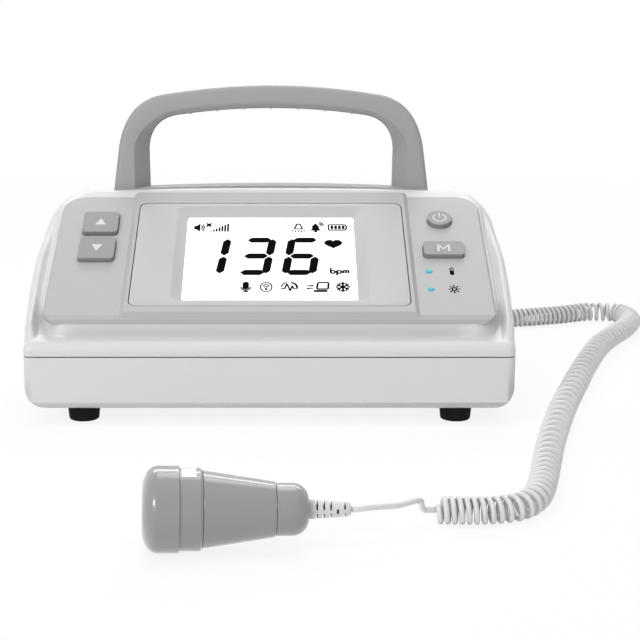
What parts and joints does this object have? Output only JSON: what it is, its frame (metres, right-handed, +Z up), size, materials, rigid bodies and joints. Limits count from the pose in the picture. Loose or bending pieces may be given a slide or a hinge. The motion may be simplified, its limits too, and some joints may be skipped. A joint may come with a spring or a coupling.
{
  "type": "fetal doppler monitor",
  "caption": "Desktop fetal heartbeat monitor with a sloping display panel, keys, a carrying handle and a hand-held ultrasound probe on a curly cord.",
  "frame": {"origin": "on the table, under the middle of the box round the monitor and its probe", "axes": "+X to the monitor's right as its user sees it, +Y from the user towards the monitor's back, +Z up"},
  "size_m": [0.3823, 0.4787, 0.1721],
  "materials": {
    "white_plastic": "satin",
    "pale_grey_plastic": "satin",
    "grey_plastic": "satin",
    "probe_plastic": "satin",
    "cord_plastic": "satin",
    "white_mark": "matte",
    "display": "lit, glossy",
    "lamp_lens": "clear",
    "dark_plastic": "matte",
    "circuit_board": "satin",
    "battery_wrap": "satin",
    "black_rubber": "matte",
    "screw_steel": "bright",
    "crystal": "satin"
  },
  "bodies": {
    "monitor": {"lower_case": "white_plastic", "upper_case": "white_plastic", "top_cover": "pale_grey_plastic", "display_bezel": "pale_grey_plastic", "lcd_glass": "display", "lcd_frame": "dark_plastic", "display_board": "circuit_board", "left_key_board": "circuit_board", "right_key_board": "circuit_board", "tact_switches": "dark_plastic", "board_screws": "screw_steel", "lamp_lenses": "lamp_lens", "main_board": "circuit_board", "battery_pack": "battery_wrap", "battery_door": "white_plastic", "door_screw": "screw_steel", "rubber_feet": "black_rubber", "case_screws": "screw_steel", "speaker": "dark_plastic", "speaker_screws": "screw_steel", "carry_handle": "grey_plastic", "handle_screws": "screw_steel", "dc_jack": "dark_plastic", "cord_gland": "cord_plastic", "rear_lead": "cord_plastic", "curly_cord": "cord_plastic", "front_lead": "cord_plastic", "probe_relief": "cord_plastic", "probe_tail": "probe_plastic", "probe_barrel": "probe_plastic", "probe_collar": "probe_plastic", "probe_mark": "white_mark", "probe_head": "probe_plastic", "probe_crystal": "crystal", "probe_board": "circuit_board"},
    "up_key": {"up_key": "grey_plastic"},
    "down_key": {"down_key": "grey_plastic"},
    "power_key": {"power_key": "grey_plastic"},
    "mode_key": {"mode_key": "grey_plastic"}
  },
  "joints": [
    {"name": "up_key_press", "type": "slide", "parent": "monitor", "child": "up_key", "axis": [0, 0.4501, -0.893], "range_m": [0, 0.0008], "stiffness_N_per_m": 1500},
    {"name": "down_key_press", "type": "slide", "parent": "monitor", "child": "down_key", "axis": [0, 0.4501, -0.893], "range_m": [0, 0.0008], "stiffness_N_per_m": 1500},
    {"name": "power_key_press", "type": "slide", "parent": "monitor", "child": "power_key", "axis": [0, 0.4501, -0.893], "range_m": [0, 0.0008], "stiffness_N_per_m": 1500},
    {"name": "mode_key_press", "type": "slide", "parent": "monitor", "child": "mode_key", "axis": [0, 0.4501, -0.893], "range_m": [0, 0.0008], "stiffness_N_per_m": 1500}
  ]
}
